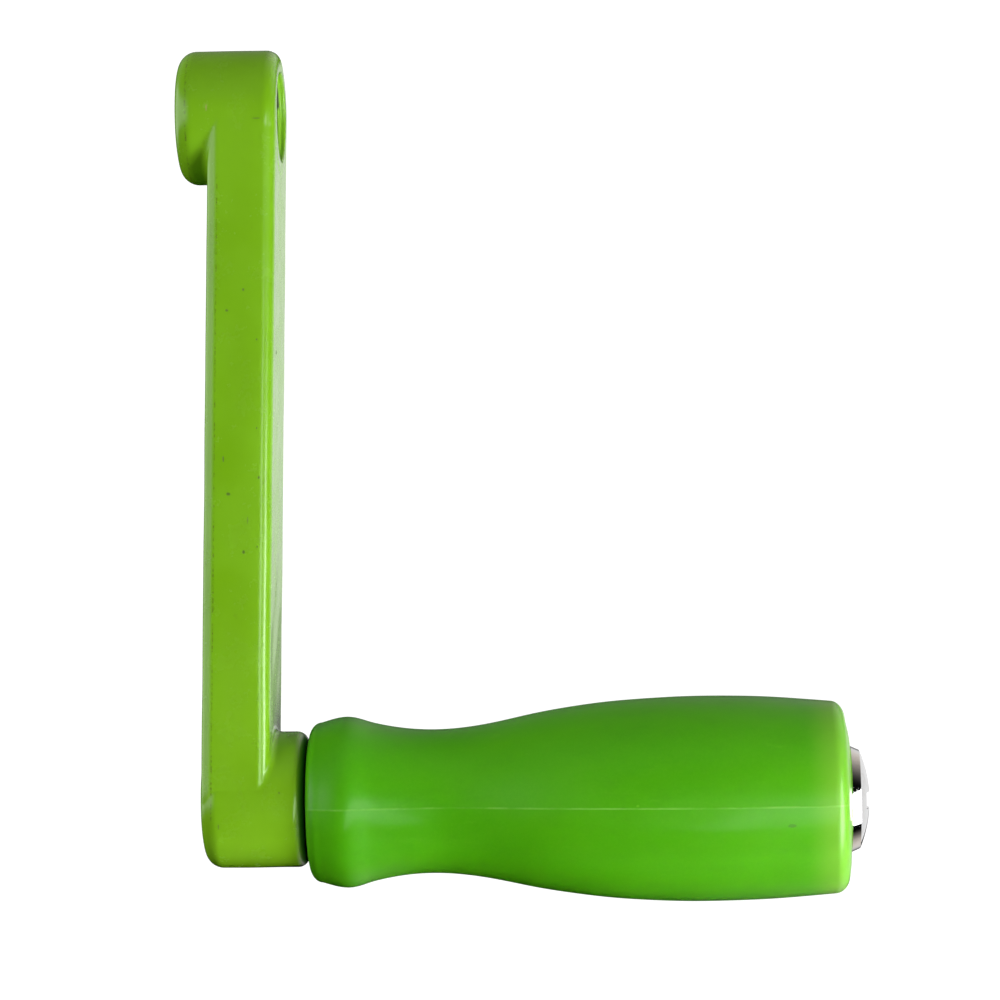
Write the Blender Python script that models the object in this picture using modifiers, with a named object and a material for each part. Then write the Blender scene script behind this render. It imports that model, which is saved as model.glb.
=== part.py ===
"""Crank handle of a bench-mounted manual can opener.

A cast arm hangs down from a hub that fits the opener's drive shaft. At the arm's foot a
plastic grip turns freely on a steel sleeve, which a slotted dome-headed screw clamps to the arm.

Frame: +Z up, X along the drive shaft. The origin is the centre of the hub's back face, the face
that meets the opener; +X points away from the opener, towards the hand. Units are metres.
"""

import math

import bmesh
import bpy
from mathutils import Matrix

MM = 0.001

# Driving dimensions
THROW = 121 * MM  # hub axis to grip axis
HUB_RADIUS = 11.75 * MM
HUB_LENGTH = 17.8 * MM
HUB_ROUNDING = 2.3 * MM
FOOT_RADIUS = 11.85 * MM
FOOT_ROUNDING = 1.5 * MM
FOOT_RISE = 0.6 * MM  # the foot's round is centred this much above the grip's axis
ARM_THICKNESS = 11.8 * MM
ARM_WIDTH = 23.0 * MM
ARM_EDGE_ROUNDING = 1.4 * MM
ARM_LEAN = math.radians(1.38)  # the foot sits this much nearer the opener than the hub does
GRIP_LENGTH = 94.2 * MM
THREAD_RADIUS = 4.0 * MM  # M8
THREAD_PITCH = 1.25 * MM
THREAD_DEPTH = 0.6 * MM
GAP = 0.3 * MM  # between pieces that touch
PAST = 2.0 * MM  # how far a cutter runs past the face it cuts

# Hub: a D-shaped bore for the shaft, and a shallow seat for the washer that holds it on
BORE_RADIUS = 5.7 * MM
BORE_FLAT = 4.7 * MM  # axis to the bore's flat
SEAT_RADIUS = 7.8 * MM
SEAT_DEPTH = 0.9 * MM

# Arm: its outer face starts just below the hub's, and its inner face ends just above the foot's
FACE_STEP = 0.1 * MM
ARM_OUTER_X = HUB_LENGTH - FACE_STEP
ARM_INNER_X = ARM_OUTER_X - ARM_THICKNESS
FOOT_SHIFT = THROW * math.tan(ARM_LEAN)
FOOT_BACK_X = ARM_INNER_X - FOOT_SHIFT - FACE_STEP
FOOT_LENGTH = 18.1 * MM
FOOT_FACE_X = FOOT_BACK_X + FOOT_LENGTH

# Grip, measured from its near end, the one next to the arm
GRIP_GAP = 0.4 * MM
GRIP_X = FOOT_FACE_X + GRIP_GAP
GRIP_END_X = GRIP_X + GRIP_LENGTH
NEAR_FACE_RADIUS = 11.4 * MM
FAR_FACE_RADIUS = 13.8 * MM
END_CROWN = 0.25 * MM  # how far the far face rises towards its middle
NEAR_SHOULDER = 2.1 * MM  # how far along the near end's round reaches
FAR_SHOULDER = 2.6 * MM
# The outline between the two end rounds: distance along, radius, slope
GRIP_OUTLINE = (
    (NEAR_SHOULDER, 14.1 * MM, 0.31),
    (6.6 * MM, 15.05 * MM, 0.0),
    (11.5 * MM, 13.85 * MM, -0.23),
    (22.0 * MM, 12.63 * MM, 0.0),
    (37.5 * MM, 14.84 * MM, 0.217),
    (70.5 * MM, 18.0 * MM, 0.0),
    (GRIP_LENGTH - FAR_SHOULDER, 16.88 * MM, -0.095),
)

# Sleeve, washers and screw on the grip's axis
SLEEVE_RADIUS = 6.0 * MM
SLEEVE_BORE = 4.3 * MM
GRIP_BORE = SLEEVE_RADIUS + GAP
THRUST_WASHER_RADIUS = 9.0 * MM
THRUST_WASHER_THICKNESS = 1.0 * MM
FLAT_WASHER_RADIUS = 8.0 * MM
FLAT_WASHER_THICKNESS = 1.6 * MM
LOCK_WASHER_RADIUS = 6.4 * MM
LOCK_WASHER_THICKNESS = 2.0 * MM
LOCK_WASHER_SPLIT = 0.8 * MM
WASHER_BORE = 4.3 * MM
SHANK_RADIUS = 4.0 * MM
RING_CHAMFER = 0.2 * MM
HEAD_RADIUS = 9.25 * MM
HEAD_TOP_RADIUS = 8.5 * MM
HEAD_WALL = 1.9 * MM
HEAD_DOME = 1.6 * MM
SLOT_WIDTH = 2.7 * MM
SLOT_DEPTH = 1.1 * MM
TIP_INSET = 0.6 * MM  # the screw's tip stops this short of the foot's back face

HEAD_X = GRIP_END_X + END_CROWN + GAP
LOCK_WASHER_X = HEAD_X - GAP - LOCK_WASHER_THICKNESS
FLAT_WASHER_X = LOCK_WASHER_X - GAP - FLAT_WASHER_THICKNESS
SLEEVE_END_X = FLAT_WASHER_X - GAP
SLEEVE_X = FOOT_FACE_X + GAP
NEAR_POCKET_X = SLEEVE_X + THRUST_WASHER_THICKNESS + GAP
FAR_POCKET_X = FLAT_WASHER_X - GAP
TIP_X = FOOT_BACK_X + TIP_INSET
TAPPED_RADIUS = THREAD_RADIUS + GAP

# Facets
BOSS_STEPS = 64
GRIP_STEPS = 60
SMALL_STEPS = 40
ARC_STEPS = 5
SPAN_STEPS = 6
BEVEL_SEGMENTS = 4
MERGE = 0.00001


def clear_scene():
    for obj in list(bpy.data.objects):
        bpy.data.objects.remove(obj, do_unlink=True)


def new_collection(name):
    collection = bpy.data.collections.new(name)
    bpy.context.scene.collection.children.link(collection)
    return collection


def new_material(name, color, roughness, metallic):
    material = bpy.data.materials.new(name)
    material.use_nodes = True
    shader = material.node_tree.nodes["Principled BSDF"]
    shader.inputs["Base Color"].default_value = (*color, 1.0)
    shader.inputs["Roughness"].default_value = roughness
    shader.inputs["Metallic"].default_value = metallic
    return material


def new_object(name, mesh, collection, material=None):
    obj = bpy.data.objects.new(name, mesh)
    collection.objects.link(obj)
    if material:
        mesh.materials.append(material)
    return obj


def new_cutter(name, mesh, collection):
    cutter = new_object(name, mesh, collection)
    cutter.hide_render = True
    cutter.display_type = "WIRE"
    return cutter


def arc(centre, radius, start, end, steps=ARC_STEPS):
    """Points (along, radius) on a round from start to end, in degrees, 0 along and 90 outwards."""
    angles = (start + (end - start) * i / steps for i in range(steps + 1))
    return [
        (
            centre[0] + radius * math.cos(math.radians(a)),
            centre[1] + radius * math.sin(math.radians(a)),
        )
        for a in angles
    ]


def smooth_span(first, last, steps=SPAN_STEPS):
    """Points of the cubic between two stations (along, radius, slope), without the last one."""
    (x0, r0, m0), (x1, r1, m1) = first, last
    length = x1 - x0
    points = []
    for i in range(steps):
        t = i / steps
        radius = (
            r0 * (2 * t**3 - 3 * t**2 + 1)
            + m0 * length * (t**3 - 2 * t**2 + t)
            + r1 * (3 * t**2 - 2 * t**3)
            + m1 * length * (t**3 - t**2)
        )
        points.append((x0 + t * length, radius))
    return points


def turned_mesh(name, profile, closed):
    """A mesh of the profile (along, radius), listed along +X on its outer side."""
    mesh = bpy.data.meshes.new(name)
    points = [(radius, 0.0, along) for along, radius in reversed(profile)]
    edges = [(i, i + 1) for i in range(len(points) - 1)]
    if closed:
        edges.append((len(points) - 1, 0))
    mesh.from_pydata(points, edges, [])
    return mesh


def turn(obj, steps, z=0.0):
    """Spins the object's profile about its own Z, which is laid along the row's X at height z."""
    screw = obj.modifiers.new("turn", "SCREW")
    screw.axis = "Z"
    screw.angle = math.tau
    screw.steps = steps
    screw.render_steps = steps
    screw.use_merge_vertices = True
    screw.merge_threshold = MERGE
    screw.use_smooth_shade = True
    obj.rotation_euler = (0.0, math.pi / 2, 0.0)
    obj.location = (0.0, 0.0, z)
    return obj


def boolean(obj, operation, other):
    modifier = obj.modifiers.new(f"{operation.lower()} {other.name}", "BOOLEAN")
    modifier.operation = operation
    modifier.object = other


def box_mesh(name, low, high):
    """A box between two corners."""
    size = [h - l for l, h in zip(low, high)]
    centre = [(h + l) / 2 for l, h in zip(low, high)]
    form = bmesh.new()
    place = Matrix.Translation(centre) @ Matrix.Diagonal((*size, 1.0))
    bmesh.ops.create_cube(form, size=1.0, matrix=place)
    mesh = bpy.data.meshes.new(name)
    form.to_mesh(mesh)
    form.free()
    return mesh


def rounded_disc(start, end, radius, rounding):
    """The profile of a solid cylinder from start to end, with its rims rounded."""
    rim = radius - rounding
    return [
        (start, 0.0),
        *arc((start + rounding, rim), rounding, 180, 90),
        *arc((end - rounding, rim), rounding, 90, 0),
        (end, 0.0),
    ]


def ring(start, end, inner, outer, chamfer):
    """The profile of a tube or washer, its outer rims chamfered."""
    return [
        (start, inner),
        (start, outer - chamfer),
        (start + chamfer, outer),
        (end - chamfer, outer),
        (end, outer - chamfer),
        (end, inner),
    ]


def make_plug(name, start, end, radius, z, collection):
    """A plain round cutter along X at height z."""
    form = bmesh.new()
    place = Matrix.Translation(((start + end) / 2, 0.0, z)) @ Matrix.Rotation(math.pi / 2, 4, "Y")
    bmesh.ops.create_cone(
        form,
        cap_ends=True,
        segments=BOSS_STEPS,
        radius1=radius,
        radius2=radius,
        depth=end - start,
        matrix=place,
    )
    mesh = bpy.data.meshes.new(name)
    form.to_mesh(mesh)
    form.free()
    return new_cutter(name, mesh, collection)


def make_arm_bar(collection):
    """The straight bar between hub and foot, leaning towards the opener."""
    low = (ARM_INNER_X, -ARM_WIDTH / 2, -THROW)
    high = (ARM_OUTER_X, ARM_WIDTH / 2, 0.0)
    mesh = box_mesh("arm_bar", low, high)
    for vertex in mesh.vertices:
        vertex.co.x += vertex.co.z * math.tan(ARM_LEAN)
    bar = new_cutter("arm_bar", mesh, collection)
    bevel = bar.modifiers.new("rounded edges", "BEVEL")
    bevel.width = ARM_EDGE_ROUNDING
    bevel.segments = BEVEL_SEGMENTS
    bevel.limit_method = "ANGLE"
    return bar


def make_foot(collection):
    """The round foot, which stands out of the bar towards the grip."""
    profile = rounded_disc(FOOT_BACK_X, FOOT_FACE_X, FOOT_RADIUS, FOOT_ROUNDING)
    foot = new_cutter("arm_foot", turned_mesh("arm_foot", profile, False), collection)
    return turn(foot, BOSS_STEPS, -THROW + FOOT_RISE)


def make_drive_bore(collection):
    """The hole for the opener's drive shaft, round with one flat."""
    bore = make_plug("drive_bore", -PAST, HUB_LENGTH + PAST, BORE_RADIUS, 0.0, collection)
    reach = 2 * BORE_RADIUS
    low = (-2 * PAST, -reach, -BORE_FLAT)
    high = (HUB_LENGTH + 2 * PAST, reach, reach)
    above_flat = new_cutter("above_flat", box_mesh("above_flat", low, high), collection)
    boolean(bore, "INTERSECT", above_flat)
    return bore


def make_crank_arm(collection, cutters, material):
    """The casting: hub, bar and foot in one, with the drive bore, washer seat and tapped hole."""
    profile = rounded_disc(0.0, HUB_LENGTH, HUB_RADIUS, HUB_ROUNDING)
    mesh = turned_mesh("crank_arm", profile, False)
    arm = turn(new_object("crank_arm", mesh, collection, material), BOSS_STEPS)
    seat_floor = HUB_LENGTH - SEAT_DEPTH
    seat = make_plug("washer_seat", seat_floor, HUB_LENGTH + PAST, SEAT_RADIUS, 0.0, cutters)
    start = FOOT_BACK_X - PAST
    end = FOOT_FACE_X + PAST
    hole = make_plug("tapped_hole", start, end, TAPPED_RADIUS, -THROW, cutters)
    boolean(arm, "UNION", make_arm_bar(cutters))
    boolean(arm, "UNION", make_foot(cutters))
    boolean(arm, "DIFFERENCE", make_drive_bore(cutters))
    boolean(arm, "DIFFERENCE", seat)
    boolean(arm, "DIFFERENCE", hole)
    return arm


def end_round(face, shoulder, steps=ARC_STEPS):
    """A quarter ellipse from the rim of an end face to the shoulder, both (along, radius)."""
    angles = (math.pi / 2 * i / steps for i in range(steps + 1))
    return [
        (
            face[0] + (shoulder[0] - face[0]) * (1 - math.cos(a)),
            face[1] + (shoulder[1] - face[1]) * math.sin(a),
        )
        for a in angles
    ]


def grip_outside():
    """The grip's outline from its near face to its far face."""
    near_shoulder = GRIP_OUTLINE[0][:2]
    far_shoulder = GRIP_OUTLINE[-1][:2]
    points = end_round((0.0, NEAR_FACE_RADIUS), near_shoulder)[:-1]
    for first, last in zip(GRIP_OUTLINE, GRIP_OUTLINE[1:]):
        points += smooth_span(first, last)
    points += reversed(end_round((GRIP_LENGTH, FAR_FACE_RADIUS), far_shoulder))
    return [(GRIP_X + along, radius) for along, radius in points]


def make_grip(collection, material):
    """The moulded grip, bored for the sleeve, with a pocket for washers at each end."""
    near_pocket = THRUST_WASHER_RADIUS + GAP
    far_pocket = FLAT_WASHER_RADIUS + GAP
    profile = [
        (NEAR_POCKET_X, GRIP_BORE),
        (NEAR_POCKET_X, near_pocket),
        (GRIP_X, near_pocket),
        *grip_outside(),
        (GRIP_END_X + END_CROWN, far_pocket),
        (FAR_POCKET_X, far_pocket),
        (FAR_POCKET_X, GRIP_BORE),
    ]
    mesh = turned_mesh("grip", profile, True)
    return turn(new_object("grip", mesh, collection, material), GRIP_STEPS, -THROW)


def make_ring(name, start, length, inner, outer, collection, material):
    """A tube or washer on the grip's axis."""
    profile = ring(start, start + length, inner, outer, RING_CHAMFER)
    mesh = turned_mesh(name, profile, True)
    return turn(new_object(name, mesh, collection, material), SMALL_STEPS, -THROW)


def split_washer(washer, cutters):
    """Cuts the lock washer through at the top."""
    half = LOCK_WASHER_SPLIT / 2
    low = (LOCK_WASHER_X - GAP, -half, -THROW)
    high = (LOCK_WASHER_X + LOCK_WASHER_THICKNESS + GAP, half, -THROW + 2 * LOCK_WASHER_RADIUS)
    boolean(washer, "DIFFERENCE", new_cutter("split", box_mesh("split", low, high), cutters))


def thread_profile():
    """The screw's thread as ridges, from its tip to the foot's face."""
    count = round((FOOT_FACE_X - TIP_X) / THREAD_PITCH)
    root = THREAD_RADIUS - THREAD_DEPTH
    crest = 0.2 * THREAD_PITCH
    points = [(TIP_X, 0.0), (TIP_X, root)]
    for i in range(count):
        middle = TIP_X + (i + 0.5) * THREAD_PITCH
        points.append((middle - crest / 2, THREAD_RADIUS))
        points.append((middle + crest / 2, THREAD_RADIUS))
        points.append((middle + THREAD_PITCH / 2, root))
    return points


def head_profile():
    """The screw's head: a slightly tapered wall under a shallow spherical dome."""
    dome_radius = (HEAD_TOP_RADIUS**2 + HEAD_DOME**2) / (2 * HEAD_DOME)
    centre = HEAD_X + HEAD_WALL + HEAD_DOME - dome_radius
    rim = math.degrees(math.asin(HEAD_TOP_RADIUS / dome_radius))
    dome = arc((centre, 0.0), dome_radius, rim, 0)
    return [(HEAD_X, HEAD_RADIUS), *dome]


def make_screw(collection, cutters, material):
    """The screw that carries the sleeve and holds the grip on."""
    shank = [(SLEEVE_X, SHANK_RADIUS), (HEAD_X, SHANK_RADIUS)]
    mesh = turned_mesh("grip_screw", thread_profile() + shank + head_profile(), False)
    screw = turn(new_object("grip_screw", mesh, collection, material), SMALL_STEPS, -THROW)
    top = HEAD_X + HEAD_WALL + HEAD_DOME
    half = SLOT_WIDTH / 2
    low = (top - SLOT_DEPTH, -HEAD_RADIUS - PAST, -THROW - half)
    high = (top + PAST, HEAD_RADIUS + PAST, -THROW + half)
    boolean(screw, "DIFFERENCE", new_cutter("slot", box_mesh("slot", low, high), cutters))
    return screw


def main():
    clear_scene()
    parts = new_collection("can_opener_crank_handle")
    cutters = new_collection("cutters")
    painted = new_material("painted_casting", (0.17, 0.41, 0.02), 0.3, 0.0)
    plastic = new_material("green_plastic", (0.07, 0.32, 0.01), 0.35, 0.0)
    chrome = new_material("chromed_steel", (0.78, 0.77, 0.75), 0.1, 1.0)
    steel = new_material("zinc_plated_steel", (0.60, 0.60, 0.58), 0.35, 1.0)
    nylon = new_material("natural_nylon", (0.75, 0.73, 0.66), 0.45, 0.0)

    make_crank_arm(parts, cutters, painted)
    make_grip(parts, plastic)
    make_screw(parts, cutters, chrome)
    # Name, start, length, inner radius, outer radius, material
    rings = (
        ("bearing_sleeve", SLEEVE_X, SLEEVE_END_X - SLEEVE_X, SLEEVE_BORE, SLEEVE_RADIUS, steel),
        ("thrust_washer", SLEEVE_X, THRUST_WASHER_THICKNESS, GRIP_BORE, THRUST_WASHER_RADIUS, nylon),
        ("flat_washer", FLAT_WASHER_X, FLAT_WASHER_THICKNESS, WASHER_BORE, FLAT_WASHER_RADIUS, steel),
        ("lock_washer", LOCK_WASHER_X, LOCK_WASHER_THICKNESS, WASHER_BORE, LOCK_WASHER_RADIUS, steel),
    )
    made = {
        name: make_ring(name, start, length, inner, outer, parts, material)
        for name, start, length, inner, outer, material in rings
    }
    split_washer(made["lock_washer"], cutters)


main()
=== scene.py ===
"""The looks of a can opener's crank handle: a painted casting, a moulded grip and a chromed screw.

Shapes are worked out in millimetres, in the frame's own axes: X along the drive shaft towards the
hand, Z up, and the camera's side at -Y. They become metres when their meshes are made.
"""

import math

import bpy
import numpy as np
from mathutils import Matrix, Quaternion, Vector


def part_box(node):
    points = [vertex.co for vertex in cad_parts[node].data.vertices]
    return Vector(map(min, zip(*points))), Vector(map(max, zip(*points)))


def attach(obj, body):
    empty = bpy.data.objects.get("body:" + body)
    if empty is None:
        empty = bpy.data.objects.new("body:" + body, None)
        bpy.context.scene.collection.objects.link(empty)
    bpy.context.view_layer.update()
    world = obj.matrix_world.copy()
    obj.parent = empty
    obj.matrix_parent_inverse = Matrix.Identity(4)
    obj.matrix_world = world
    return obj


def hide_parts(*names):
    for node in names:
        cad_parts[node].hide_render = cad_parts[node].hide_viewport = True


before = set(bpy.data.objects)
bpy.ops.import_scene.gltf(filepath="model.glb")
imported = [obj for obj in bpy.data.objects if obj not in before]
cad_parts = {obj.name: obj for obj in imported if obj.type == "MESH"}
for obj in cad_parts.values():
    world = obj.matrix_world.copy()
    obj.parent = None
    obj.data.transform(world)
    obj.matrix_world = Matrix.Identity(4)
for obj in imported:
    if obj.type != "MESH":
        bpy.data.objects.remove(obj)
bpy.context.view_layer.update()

MM = 0.001


def box_mm(node):
    """A CAD node's lowest and highest corner, in millimetres."""
    low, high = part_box(node)
    return np.array(low) / MM, np.array(high) / MM


# Places that the frame gives
ARM_LOW, ARM_HIGH = box_mm("crank_arm")
GRIP_LOW, GRIP_HIGH = box_mm("grip")
SCREW_LOW, SCREW_HIGH = box_mm("grip_screw")
SLEEVE_LOW, SLEEVE_HIGH = box_mm("bearing_sleeve")
AXIS_Z = (GRIP_LOW[2] + GRIP_HIGH[2]) / 2  # the grip's axis
FOOT_FACE_X = ARM_HIGH[0]
GRIP_X = GRIP_LOW[0]

# Arm
HUB_RADIUS = ARM_HIGH[2]
HUB_LENGTH = 17.8
HUB_ROUNDINGS = (3.2, 2.3)  # on the opener's side and on the hand's side
FOOT_RADIUS = 11.95
FOOT_CENTRE_Z = ARM_LOW[2] - 0.10 + FOOT_RADIUS
FOOT_ROUNDINGS = (3.1, 1.9)
FOOT_BACK_X = FOOT_FACE_X - 18.1
BAR_THICKNESS = 11.9
BAR_HALF_WIDTH = 11.7
BAR_LEAN = math.tan(math.radians(1.38))
BAR_OUTER_X = HUB_LENGTH + 0.03  # at the hub's axis
BAR_INNER_X = BAR_OUTER_X - BAR_THICKNESS
BAR_ROUNDINGS = (2.0, 2.1)
FILLET = 1.3
# The bar's front falls away towards its outer edge, by the crown times the distance squared
FRONT_CROWN = 0.023
CROWN_START = 1.3  # the distance counts from here, past the bar's middle
CROWN_FADE = (8.0, 24.0)  # heights above the foot's centre between which the crown grows
BAR_END_RISE = 2.5  # how far the bar's lower round end is centred above the foot
WAVE_HEIGHT = 0.012
ARM_MESH_STEP = 0.46

# Holes in the arm
BORE_RADIUS = 5.7
BORE_FLAT = 4.7
SEAT_RADIUS = 7.8
SEAT_DEPTH = 0.9
TAPPED_RADIUS = 4.1
SEAT_ROUNDING = 0.25
BORE_CHAMFER = 0.2  # where the bore meets the seat's floor
LIP = 0.35  # the rounding of a hole's mouth
CUTTER_REACH = 1.0  # how far a cutter sticks out of a face

# Shading
SMOOTH_ANGLE = 35.0  # degrees; a sharper edge than this stays sharp
ON_FIELD = 0.03  # a point within this distance of a field's surface belongs to it
SAME_WAY = math.cos(math.radians(40))  # normals that agree better than this are the same


# Meshes


def make_object(name, points, faces, body, material, smooth_angle=SMOOTH_ANGLE):
    """A mesh object from points in millimetres, riding on a body of the frame."""
    mesh = bpy.data.meshes.new(name)
    mesh.from_pydata((np.asarray(points) * MM).tolist(), [], faces)
    mesh.validate()
    mesh.shade_smooth()
    mesh.set_sharp_from_angle(angle=math.radians(smooth_angle))
    obj = bpy.data.objects.new(name, mesh)
    bpy.context.scene.collection.objects.link(obj)
    if material:
        mesh.materials.append(material)
    if body:
        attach(obj, body)
    return obj


def plate_field(x, outward, thickness, roundings):
    """The distance to a plate across X with rounded edges: its low X edge first, then its high."""
    rounding = np.where(x < 0, *roundings)
    across = np.abs(x) - thickness / 2 + rounding
    outward = outward + rounding
    corner = np.hypot(np.maximum(across, 0), np.maximum(outward, 0))
    return np.minimum(np.maximum(across, outward), 0) + corner - rounding


def bar_field(p):
    """The distance to the leaning bar, whose round ends lie inside the hub and the foot, and whose
    front is crowned."""
    x = p[..., 0] - np.minimum(p[..., 2], 0) * BAR_LEAN - (BAR_INNER_X + BAR_OUTER_X) / 2
    past_end = np.maximum(p[..., 2], 0) + np.maximum(FOOT_CENTRE_Z + BAR_END_RISE - p[..., 2], 0)
    outward = np.hypot(p[..., 1], past_end) - BAR_HALF_WIDTH
    crown = np.interp(p[..., 2] - FOOT_CENTRE_Z, CROWN_FADE, (0.0, FRONT_CROWN)) * (p[..., 1] < 0)
    outward = outward + crown * np.maximum(x - CROWN_START, 0) ** 2
    return plate_field(x, outward, BAR_THICKNESS, BAR_ROUNDINGS)


def hub_field(p):
    outward = np.hypot(p[..., 1], p[..., 2]) - HUB_RADIUS
    return plate_field(p[..., 0] - HUB_LENGTH / 2, outward, HUB_LENGTH, HUB_ROUNDINGS)


def foot_field(p):
    outward = np.hypot(p[..., 1], p[..., 2] - FOOT_CENTRE_Z) - FOOT_RADIUS
    middle = (FOOT_BACK_X + FOOT_FACE_X) / 2
    return plate_field(p[..., 0] - middle, outward, FOOT_FACE_X - FOOT_BACK_X, FOOT_ROUNDINGS)


def slope(field, p, reach=0.01):
    """The field's unit gradient, which is the surface's normal."""
    steps = np.eye(3) * reach
    gradient = np.stack([field(p + s) - field(p - s) for s in steps], -1)
    return gradient / np.maximum(np.linalg.norm(gradient, axis=-1, keepdims=True), 1e-9)


def filleted(first, second, p):
    """Two fields joined, with a fillet only where their surfaces meet at an angle."""
    a, b = first(p), second(p)
    facing = np.sum(slope(first, p) * slope(second, p), -1)
    radius = FILLET * np.clip(1 - facing, 0, 1)
    meeting = np.hypot(np.maximum(radius - a, 0), np.maximum(radius - b, 0))
    return np.maximum(radius, np.minimum(a, b)) - meeting


def casting_waves(p):
    """The slight unevenness that a painted casting has."""
    x, y, z = p[..., 0], p[..., 1], p[..., 2]
    return WAVE_HEIGHT * (
        np.sin(0.41 * x + 0.33 * y + 0.23 * z)
        + np.sin(0.52 * y - 0.37 * z + 1.3)
        + np.sin(0.61 * x - 0.17 * z + 0.5)
    )


def arm_field(p):
    body = np.minimum(filleted(hub_field, bar_field, p), filleted(foot_field, bar_field, p))
    return body + casting_waves(p)


def settle(points, field, rounds=3):
    """Moves points on to the field's surface."""
    for _ in range(rounds):
        points = points - field(points)[:, None] * slope(field, points)
    return points


def evened(points, quads):
    """Each point moved to the middle of its neighbours."""
    total = np.zeros_like(points)
    count = np.zeros(len(points))
    for i in range(4):
        a, b = quads[:, i], quads[:, (i + 1) % 4]
        for here, there in ((a, b), (b, a)):
            np.add.at(total, here, points[there])
            np.add.at(count, here, 1)
    return total / count[:, None]


def skin(field, low, high, step):
    """A mesh of quads over the field's surface: a point in each grid cell that it crosses."""
    axes = [np.arange(a, b + step, step) for a, b in zip(low, high)]
    grid = np.stack(np.meshgrid(*axes, indexing="ij"), -1)
    inside = field(grid) < 0
    corners = np.zeros([n - 1 for n in inside.shape], int)
    for i in (0, 1):
        for j in (0, 1):
            for k in (0, 1):
                far = [n - 1 + s for n, s in zip(inside.shape, (i, j, k))]
                corners += inside[i : far[0], j : far[1], k : far[2]]
    crossed = (corners > 0) & (corners < 8)
    number = np.full(corners.shape, -1)
    number[crossed] = np.arange(crossed.sum())
    points = np.array([a[0] for a in axes]) + (np.argwhere(crossed) + 0.5) * step
    quads = []
    for axis in range(3):
        here = np.moveaxis(inside, axis, 0)
        cells = np.moveaxis(number, axis, 0)
        i, j, k = np.nonzero(here[:-1] != here[1:])
        ring = [cells[i, j - 1, k - 1], cells[i, j, k - 1], cells[i, j, k], cells[i, j - 1, k]]
        faces = np.stack(ring, 1)
        backwards = here[i, j, k] == (axis == 1)
        faces[backwards] = faces[backwards, ::-1]
        quads.append(faces)
    quads = np.concatenate(quads)
    points = settle(points, field)
    for _ in range(2):
        points = settle(evened(points, quads), field)
    return points, quads


def stacked(rings, cap=True):
    """Points and quads of a stack of rings, each an (m, 3) array; the ends capped or joined up."""
    rings = np.asarray(rings, float)
    count, around = rings.shape[:2]
    points = rings.reshape(-1, 3)
    faces = []
    last = count - 1 if cap else count
    for i in range(last):
        a, b = i * around, (i + 1) % count * around
        for j in range(around):
            k = (j + 1) % around
            faces.append((a + j, a + k, b + k, b + j))
    if cap:
        faces.append(tuple(range(around))[::-1])
        faces.append(tuple(range(last * around, count * around)))
    return points, faces


def whole_turn(count):
    """That many angles, evenly round a circle."""
    return np.linspace(0, math.tau, count, endpoint=False)


def circle(x, radius, angles, z=0.0):
    """A ring round the X axis at height z."""
    x = x + 0 * angles
    return np.stack([x, radius * np.cos(angles), z + radius * np.sin(angles)], 1)


def turned(x_and_radius, angles):
    """A stack of circles round the grip's axis, one for each (x, radius)."""
    return [circle(x, radius, angles, AXIS_Z) for x, radius in x_and_radius]


def round_corner(x, radius, size_x, size_r, start, end, steps=5):
    """Points on a quarter round: its centre, its half axes, and its angles in degrees (0 is +X)."""
    turn = np.radians(np.linspace(start, end, steps + 1))
    return [(x + size_x * math.cos(t), radius + size_r * math.sin(t)) for t in turn]


def cut(obj, cutter):
    """Takes the cutter out of the object, for good."""
    modifier = obj.modifiers.new("hole", "BOOLEAN")
    modifier.operation = "DIFFERENCE"
    modifier.object = cutter
    graph = bpy.context.evaluated_depsgraph_get()
    mesh = bpy.data.meshes.new_from_object(obj.evaluated_get(graph), depsgraph=graph)
    obj.modifiers.clear()
    obj.data = mesh
    bpy.data.objects.remove(cutter)


def shade_by_field(mesh, field):
    """Gives the mesh the field's exact normals, except round the holes cut in it."""
    mesh.shade_smooth()
    mesh.set_sharp_from_angle(angle=math.radians(SMOOTH_ANGLE))
    points = np.empty(len(mesh.vertices) * 3)
    mesh.vertices.foreach_get("co", points)
    points = points.reshape(-1, 3) / MM
    owner = np.empty(len(mesh.loops), int)
    mesh.loops.foreach_get("vertex_index", owner)
    normals = np.empty(len(mesh.loops) * 3)
    mesh.corner_normals.foreach_get("vector", normals)
    normals = normals.reshape(-1, 3)
    exact = slope(field, points)[owner]
    on_field = np.abs(field(points))[owner] < ON_FIELD
    same_way = np.sum(exact * normals, -1) > SAME_WAY
    normals[on_field & same_way] = exact[on_field & same_way]
    mesh.normals_split_custom_set(normals.tolist())


# The casting


def hole_mouth(face_x, radius, inward):
    """The rounded lip of a hole whose mouth is at face_x; inward is +1 or -1 along X."""
    turn = np.linspace(0, math.pi / 2, 5)
    x = face_x + inward * LIP * (1 - np.cos(turn))
    return list(zip(x, radius + LIP * (1 - np.sin(turn))))


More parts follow.
